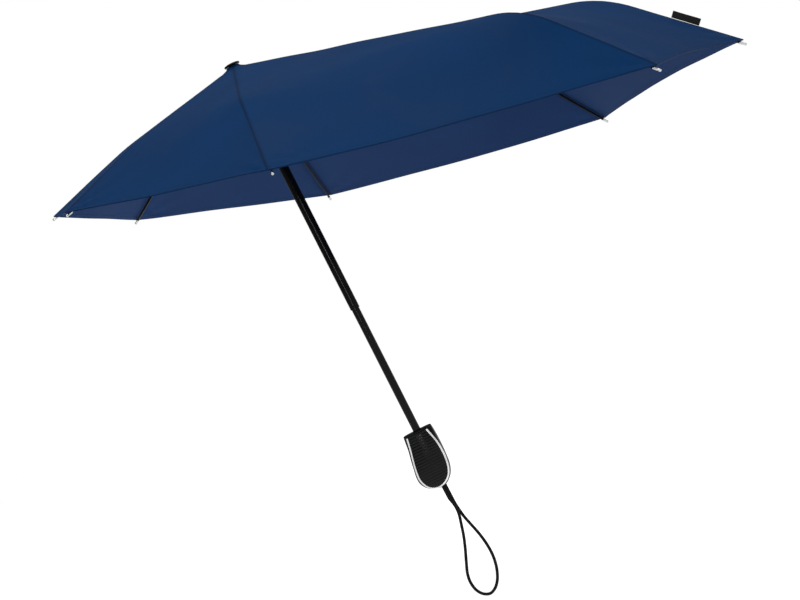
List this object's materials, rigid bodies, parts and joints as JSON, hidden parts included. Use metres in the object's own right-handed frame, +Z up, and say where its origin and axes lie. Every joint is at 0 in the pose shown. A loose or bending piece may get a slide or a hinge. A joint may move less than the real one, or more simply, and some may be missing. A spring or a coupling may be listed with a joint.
{
  "type": "folding umbrella",
  "caption": "Folding storm umbrella with an off-centre crown and a long rear side, hinged folding ribs, a telescoping shaft, a ribbed grip and a wrist strap",
  "frame": {"origin": "on the shaft axis at mid handle, where a hand holds it", "axes": "+Z up the shaft to the crown, +X towards the long rear side of the canopy, +Y completes a right-handed frame"},
  "size_m": [0.8982, 0.858, 0.7627],
  "materials": {
    "cloth": "plain woven canopy cloth, matt with a faint sheen",
    "black_steel": "black lacquered steel",
    "black_plastic": "glossy black moulded plastic",
    "rubber": "matt black ribbed rubber",
    "white_trim": "satin white plastic inlay",
    "bright_metal": "bright plated metal",
    "webbing": "black braided cord and sewn label"
  },
  "bodies": {
    "root": {"handle_shell": "black_plastic", "handle_collar": "black_plastic", "grip_pad_near": "rubber", "grip_pad_far": "rubber", "grip_inlay_near": "white_trim", "grip_inlay_far": "white_trim", "wrist_strap": "webbing", "lower_tube": "black_steel"},
    "upper": {"upper_tube": "black_steel", "top_notch": "black_plastic", "notch_wire": "bright_metal", "crown_cap": "black_plastic"},
    "catch": {"runner_catch": "bright_metal"},
    "runner": {"runner": "black_plastic", "runner_wire": "bright_metal"},
    "inner_rear": {"arm_inner_rear": "black_steel", "gore_rear": "cloth"},
    "middle_rear": {"arm_middle_rear": "black_steel"},
    "outer_rear": {"arm_outer_rear": "black_steel", "tip_rear": "bright_metal", "canopy_label": "webbing"},
    "stretcher_rear": {"stretcher_rear": "black_steel"},
    "inner_rear_far": {"arm_inner_rear_far": "black_steel", "gore_rear_far": "cloth"},
    "middle_rear_far": {"arm_middle_rear_far": "black_steel"},
    "outer_rear_far": {"arm_outer_rear_far": "black_steel", "tip_rear_far": "bright_metal"},
    "stretcher_rear_far": {"stretcher_rear_far": "black_steel"},
    "inner_side_far": {"arm_inner_side_far": "black_steel", "gore_side_far": "cloth"},
    "outer_side_far": {"arm_outer_side_far": "black_steel", "tip_side_far": "bright_metal"},
    "stretcher_side_far": {"stretcher_side_far": "black_steel"},
    "inner_front_far": {"arm_inner_front_far": "black_steel", "gore_front_far": "cloth"},
    "outer_front_far": {"arm_outer_front_far": "black_steel", "tip_front_far": "bright_metal"},
    "stretcher_front_far": {"stretcher_front_far": "black_steel"},
    "inner_front": {"arm_inner_front": "black_steel", "gore_front": "cloth"},
    "outer_front": {"arm_outer_front": "black_steel", "tip_front": "bright_metal"},
    "stretcher_front": {"stretcher_front": "black_steel"},
    "inner_front_near": {"arm_inner_front_near": "black_steel", "gore_front_near": "cloth"},
    "outer_front_near": {"arm_outer_front_near": "black_steel", "tip_front_near": "bright_metal"},
    "stretcher_front_near": {"stretcher_front_near": "black_steel"},
    "inner_side_near": {"arm_inner_side_near": "black_steel", "gore_side_near": "cloth"},
    "outer_side_near": {"arm_outer_side_near": "black_steel", "tip_side_near": "bright_metal"},
    "stretcher_side_near": {"stretcher_side_near": "black_steel"},
    "inner_rear_near": {"arm_inner_rear_near": "black_steel", "gore_rear_near": "cloth"},
    "middle_rear_near": {"arm_middle_rear_near": "black_steel"},
    "outer_rear_near": {"arm_outer_rear_near": "black_steel", "tip_rear_near": "bright_metal"},
    "stretcher_rear_near": {"stretcher_rear_near": "black_steel"}
  },
  "joints": [
    {"name": "shaft_slide", "type": "slide", "parent": "root", "child": "upper", "axis": [0, 0, -1], "range_m": [0, 0.16]},
    {"name": "runner_slide", "type": "slide", "parent": "upper", "child": "runner", "axis": [0, 0, -1], "range_m": [0, 0.18], "deforming": ["gore_rear", "gore_rear_far", "gore_side_far", "gore_front_far", "gore_front", "gore_front_near", "gore_side_near", "gore_rear_near"]},
    {"name": "catch_press", "type": "slide", "parent": "upper", "child": "catch", "axis": [-0.4226, -0.9063, 0], "range_m": [0, 0.0018], "stiffness_N_per_m": 300, "springref_m": -0.001},
    {"name": "fold_inner_rear", "type": "hinge", "parent": "upper", "child": "inner_rear", "pos_m": [0.0125, 0, 0.5548], "axis": [0, -1, 0], "range_deg": [-73.84, 0]},
    {"name": "fold_middle_rear", "type": "hinge", "parent": "inner_rear", "child": "middle_rear", "pos_m": [0.28715, 0, 0.47676], "axis": [0, -1, 0], "range_deg": [0, 180.5]},
    {"name": "fold_outer_rear", "type": "hinge", "parent": "middle_rear", "child": "outer_rear", "pos_m": [0.46103, 0, 0.41699], "axis": [0, -1, 0], "range_deg": [-153.63, 0]},
    {"name": "swing_stretcher_rear", "type": "hinge", "parent": "runner", "child": "stretcher_rear", "pos_m": [0.00921, 0, 0.4848], "axis": [0, -1, 0], "range_deg": [0, 73.15]},
    {"name": "fold_inner_rear_far", "type": "hinge", "parent": "upper", "child": "inner_rear_far", "pos_m": [0.00933, 0.00831, 0.5548], "axis": [0.6652, -0.7466, 0], "range_deg": [-73.83, 0]},
    {"name": "fold_middle_rear_far", "type": "hinge", "parent": "inner_rear_far", "child": "middle_rear_far", "pos_m": [0.2129, 0.18969, 0.47735], "axis": [0.6652, -0.7466, 0], "range_deg": [0, 180.5]},
    {"name": "fold_outer_rear_far", "type": "hinge", "parent": "middle_rear_far", "child": "outer_rear_far", "pos_m": [0.33974, 0.3027, 0.41877], "axis": [0.6652, -0.7466, 0], "range_deg": [-151.88, 0]},
    {"name": "swing_stretcher_rear_far", "type": "hinge", "parent": "runner", "child": "stretcher_rear_far", "pos_m": [0.00688, 0.00613, 0.4848], "axis": [0.6652, -0.7466, 0], "range_deg": [0, 73.15]},
    {"name": "fold_inner_side_far", "type": "hinge", "parent": "upper", "child": "inner_side_far", "pos_m": [0.00041, 0.01249, 0.5548], "axis": [0.9995, -0.0332, 0], "range_deg": [-73.67, 0]},
    {"name": "fold_outer_side_far", "type": "hinge", "parent": "inner_side_far", "child": "outer_side_far", "pos_m": [0.00816, 0.24602, 0.48831], "axis": [0.9995, -0.0332, 0], "range_deg": [0, 192.86]},
    {"name": "swing_stretcher_side_far", "type": "hinge", "parent": "runner", "child": "stretcher_side_far", "pos_m": [0.0003, 0.00921, 0.4848], "axis": [0.9995, -0.0332, 0], "range_deg": [0, 73.31]},
    {"name": "fold_inner_front_far", "type": "hinge", "parent": "upper", "child": "inner_front_far", "pos_m": [-0.00901, 0.00867, 0.5548], "axis": [0.6934, 0.7206, 0], "range_deg": [-76.2, 0]},
    {"name": "fold_outer_front_far", "type": "hinge", "parent": "inner_front_far", "child": "outer_front_far", "pos_m": [-0.14482, 0.13937, 0.51088], "axis": [0.6934, 0.7206, 0], "range_deg": [0, 184.06]},
    {"name": "swing_stretcher_front_far", "type": "hinge", "parent": "runner", "child": "stretcher_front_far", "pos_m": [-0.00664, 0.00639, 0.4848], "axis": [0.6934, 0.7206, 0], "range_deg": [0, 70.89]},
    {"name": "fold_inner_front", "type": "hinge", "parent": "upper", "child": "inner_front", "pos_m": [-0.0125, 0, 0.5548], "axis": [0, 1, 0], "range_deg": [-80.88, 0]},
    {"name": "fold_outer_front", "type": "hinge", "parent": "inner_front", "child": "outer_front", "pos_m": [-0.17067, 0, 0.53204], "axis": [0, 1, 0], "range_deg": [0, 185.32]},
    {"name": "swing_stretcher_front", "type": "hinge", "parent": "runner", "child": "stretcher_front", "pos_m": [-0.00921, 0, 0.4848], "axis": [0, 1, 0], "range_deg": [0, 66.55]},
    {"name": "fold_inner_front_near", "type": "hinge", "parent": "upper", "child": "inner_front_near", "pos_m": [-0.00901, -0.00867, 0.5548], "axis": [-0.6934, 0.7206, 0], "range_deg": [-76.2, 0]},
    {"name": "fold_outer_front_near", "type": "hinge", "parent": "inner_front_near", "child": "outer_front_near", "pos_m": [-0.14482, -0.13937, 0.51088], "axis": [-0.6934, 0.7206, 0], "range_deg": [0, 184.06]},
    {"name": "swing_stretcher_front_near", "type": "hinge", "parent": "runner", "child": "stretcher_front_near", "pos_m": [-0.00664, -0.00639, 0.4848], "axis": [-0.6934, 0.7206, 0], "range_deg": [0, 70.89]},
    {"name": "fold_inner_side_near", "type": "hinge", "parent": "upper", "child": "inner_side_near", "pos_m": [0.00041, -0.01249, 0.5548], "axis": [-0.9995, -0.0332, 0], "range_deg": [-73.67, 0]},
    {"name": "fold_outer_side_near", "type": "hinge", "parent": "inner_side_near", "child": "outer_side_near", "pos_m": [0.00816, -0.24602, 0.48831], "axis": [-0.9995, -0.0332, 0], "range_deg": [0, 192.86]},
    {"name": "swing_stretcher_side_near", "type": "hinge", "parent": "runner", "child": "stretcher_side_near", "pos_m": [0.0003, -0.00921, 0.4848], "axis": [-0.9995, -0.0332, 0], "range_deg": [0, 73.31]},
    {"name": "fold_inner_rear_near", "type": "hinge", "parent": "upper", "child": "inner_rear_near", "pos_m": [0.00933, -0.00831, 0.5548], "axis": [-0.6652, -0.7466, 0], "range_deg": [-73.83, 0]},
    {"name": "fold_middle_rear_near", "type": "hinge", "parent": "inner_rear_near", "child": "middle_rear_near", "pos_m": [0.2129, -0.18969, 0.47735], "axis": [-0.6652, -0.7466, 0], "range_deg": [0, 180.5]},
    {"name": "fold_outer_rear_near", "type": "hinge", "parent": "middle_rear_near", "child": "outer_rear_near", "pos_m": [0.33974, -0.3027, 0.41877], "axis": [-0.6652, -0.7466, 0], "range_deg": [-151.88, 0]},
    {"name": "swing_stretcher_rear_near", "type": "hinge", "parent": "runner", "child": "stretcher_rear_near", "pos_m": [0.00688, -0.00613, 0.4848], "axis": [-0.6652, -0.7466, 0], "range_deg": [0, 73.15]}
  ],
  "couplings": [
    {"joint": "fold_inner_rear", "follows": "runner_slide", "rad_per_m": -7.1108},
    {"joint": "fold_middle_rear", "follows": "runner_slide", "rad_per_m": 17.453},
    {"joint": "fold_outer_rear", "follows": "runner_slide", "rad_per_m": -14.848},
    {"joint": "swing_stretcher_rear", "follows": "runner_slide", "rad_per_m": 7.0443},
    {"joint": "fold_inner_rear_far", "follows": "runner_slide", "rad_per_m": -7.1106},
    {"joint": "fold_middle_rear_far", "follows": "runner_slide", "rad_per_m": 17.453},
    {"joint": "fold_outer_rear_far", "follows": "runner_slide", "rad_per_m": -14.679},
    {"joint": "swing_stretcher_rear_far", "follows": "runner_slide", "rad_per_m": 7.0446},
    {"joint": "fold_inner_side_far", "follows": "runner_slide", "rad_per_m": -7.095},
    {"joint": "fold_outer_side_far", "follows": "runner_slide", "rad_per_m": 18.651},
    {"joint": "swing_stretcher_side_far", "follows": "runner_slide", "rad_per_m": 7.0597},
    {"joint": "fold_inner_front_far", "follows": "runner_slide", "rad_per_m": -7.3399},
    {"joint": "fold_outer_front_far", "follows": "runner_slide", "rad_per_m": 17.798},
    {"joint": "swing_stretcher_front_far", "follows": "runner_slide", "rad_per_m": 6.8248},
    {"joint": "fold_inner_front", "follows": "runner_slide", "rad_per_m": -7.7937},
    {"joint": "fold_outer_front", "follows": "runner_slide", "rad_per_m": 17.921},
    {"joint": "swing_stretcher_front", "follows": "runner_slide", "rad_per_m": 6.4047},
    {"joint": "fold_inner_front_near", "follows": "runner_slide", "rad_per_m": -7.3399},
    {"joint": "fold_outer_front_near", "follows": "runner_slide", "rad_per_m": 17.798},
    {"joint": "swing_stretcher_front_near", "follows": "runner_slide", "rad_per_m": 6.8248},
    {"joint": "fold_inner_side_near", "follows": "runner_slide", "rad_per_m": -7.095},
    {"joint": "fold_outer_side_near", "follows": "runner_slide", "rad_per_m": 18.651},
    {"joint": "swing_stretcher_side_near", "follows": "runner_slide", "rad_per_m": 7.0597},
    {"joint": "fold_inner_rear_near", "follows": "runner_slide", "rad_per_m": -7.1106},
    {"joint": "fold_middle_rear_near", "follows": "runner_slide", "rad_per_m": 17.453},
    {"joint": "fold_outer_rear_near", "follows": "runner_slide", "rad_per_m": -14.679},
    {"joint": "swing_stretcher_rear_near", "follows": "runner_slide", "rad_per_m": 7.0446}
  ]
}
